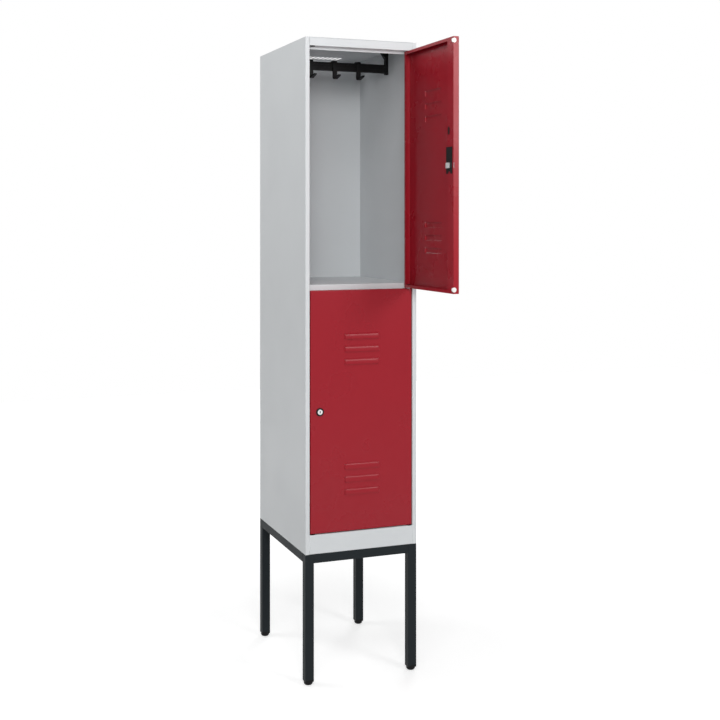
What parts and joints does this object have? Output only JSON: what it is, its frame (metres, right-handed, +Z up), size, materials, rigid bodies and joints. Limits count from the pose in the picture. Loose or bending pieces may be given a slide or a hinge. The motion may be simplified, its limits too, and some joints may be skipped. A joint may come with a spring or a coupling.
{
  "type": "double tier locker",
  "caption": "Tall narrow steel locker with stacked doors, louvred and lockable, coat hooks in each compartment, on an open base of square tube.",
  "frame": {"origin": "centre of the cabinet's footprint on the floor, between the four feet; the open upper door stands out in front of it", "axes": "+Z up, -Y out of the doors, +X towards the hinge side, which is the right as seen from in front"},
  "size_m": [0.4, 0.849, 2.13],
  "materials": {
    "body_paint": "light grey powder coat, semi-gloss",
    "door_paint": "deep red powder coat, semi-gloss",
    "base_paint": "dark grey powder coat, fine texture",
    "black_plastic": "black moulded plastic",
    "white_plastic": "white moulded plastic",
    "chrome": "bright plated metal",
    "zinc_steel": "zinc plated steel"
  },
  "bodies": {
    "cabinet": {"left_side_panel": "body_paint", "right_side_panel": "body_paint", "back_panel": "body_paint", "roof_panel": "body_paint", "top_front_rail": "body_paint", "bottom_front_rail": "body_paint", "floor_panel": "body_paint", "middle_shelf": "body_paint", "shelf_front_rail": "body_paint", "top_hinge_insert": "black_plastic", "top_spare_insert": "black_plastic", "middle_hinge_bracket": "zinc_steel", "bottom_hinge_insert": "black_plastic", "bottom_spare_insert": "black_plastic", "frame_front_tube": "base_paint", "frame_rear_tube": "base_paint", "frame_left_tube": "base_paint", "frame_right_tube": "base_paint", "leg_front_left": "base_paint", "leg_front_right": "base_paint", "leg_rear_left": "base_paint", "leg_rear_right": "base_paint", "feet": "black_plastic", "frame_bolts": "zinc_steel", "frame_nuts": "zinc_steel", "upper_coat_rail": "black_plastic", "lower_coat_rail": "black_plastic", "upper_rail_holders": "black_plastic", "lower_rail_holders": "black_plastic", "rail_studs": "zinc_steel", "rail_nuts": "zinc_steel"},
    "upper_door": {"upper_door_panel": "door_paint", "upper_door_buffers": "white_plastic", "upper_hinge_pin": "zinc_steel", "upper_hinge_bush": "black_plastic", "upper_lip_plug": "black_plastic", "upper_lock_barrel": "black_plastic", "upper_lock_case": "black_plastic", "upper_lock_cap": "chrome"},
    "upper_core": {"upper_lock_core": "chrome", "upper_lock_shutter": "black_plastic"},
    "upper_bolt": {"upper_lock_bolt": "zinc_steel"},
    "lower_door": {"lower_door_panel": "door_paint", "lower_door_buffers": "white_plastic", "lower_hinge_pin": "zinc_steel", "lower_hinge_bush": "black_plastic", "lower_lip_plug": "black_plastic", "lower_lock_barrel": "black_plastic", "lower_lock_case": "black_plastic", "lower_lock_cap": "chrome"},
    "lower_core": {"lower_lock_core": "chrome", "lower_lock_shutter": "black_plastic"},
    "lower_bolt": {"lower_lock_bolt": "zinc_steel"},
    "upper_hook_left_body": {"upper_hook_left": "black_plastic"},
    "upper_hook_middle_body": {"upper_hook_middle": "black_plastic"},
    "upper_hook_right_body": {"upper_hook_right": "black_plastic"},
    "lower_hook_left_body": {"lower_hook_left": "black_plastic"},
    "lower_hook_middle_body": {"lower_hook_middle": "black_plastic"},
    "lower_hook_right_body": {"lower_hook_right": "black_plastic"}
  },
  "joints": [
    {"name": "upper_door_hinge", "type": "hinge", "parent": "cabinet", "child": "upper_door", "pos_m": [0.1745, -0.242, 1.699], "axis": [0, 0, 1], "range_deg": [-90, 15]},
    {"name": "lower_door_hinge", "type": "hinge", "parent": "cabinet", "child": "lower_door", "pos_m": [0.1745, -0.242, 0.896], "axis": [0, 0, 1], "range_deg": [0, 105]},
    {"name": "upper_lock_turn", "type": "hinge", "parent": "upper_door", "child": "upper_core", "pos_m": [0.1825, -0.566, 1.699], "axis": [-1, 0, 0], "range_deg": [0, 90]},
    {"name": "upper_bolt_slide", "type": "slide", "parent": "upper_door", "child": "upper_bolt", "axis": [0, -1, 0], "range_m": [0, 0.0092]},
    {"name": "lower_lock_turn", "type": "hinge", "parent": "lower_door", "child": "lower_core", "pos_m": [-0.1495, -0.25, 0.896], "axis": [0, 1, 0], "range_deg": [0, 90]},
    {"name": "lower_bolt_slide", "type": "slide", "parent": "lower_door", "child": "lower_bolt", "axis": [-1, 0, 0], "range_m": [0, 0.0092]},
    {"name": "upper_hook_left_slide", "type": "slide", "parent": "cabinet", "child": "upper_hook_left_body", "axis": [1, 0, 0], "range_m": [-0.06, 0.034]},
    {"name": "upper_hook_middle_slide", "type": "slide", "parent": "cabinet", "child": "upper_hook_middle_body", "axis": [1, 0, 0], "range_m": [-0.034, 0.034]},
    {"name": "upper_hook_right_slide", "type": "slide", "parent": "cabinet", "child": "upper_hook_right_body", "axis": [1, 0, 0], "range_m": [-0.034, 0.088]},
    {"name": "lower_hook_left_slide", "type": "slide", "parent": "cabinet", "child": "lower_hook_left_body", "axis": [1, 0, 0], "range_m": [-0.06, 0.034]},
    {"name": "lower_hook_middle_slide", "type": "slide", "parent": "cabinet", "child": "lower_hook_middle_body", "axis": [1, 0, 0], "range_m": [-0.034, 0.034]},
    {"name": "lower_hook_right_slide", "type": "slide", "parent": "cabinet", "child": "lower_hook_right_body", "axis": [1, 0, 0], "range_m": [-0.034, 0.088]}
  ],
  "couplings": [
    {"joint": "upper_bolt_slide", "follows": "upper_lock_turn", "m_per_rad": 0.005852},
    {"joint": "lower_bolt_slide", "follows": "lower_lock_turn", "m_per_rad": 0.005852}
  ]
}
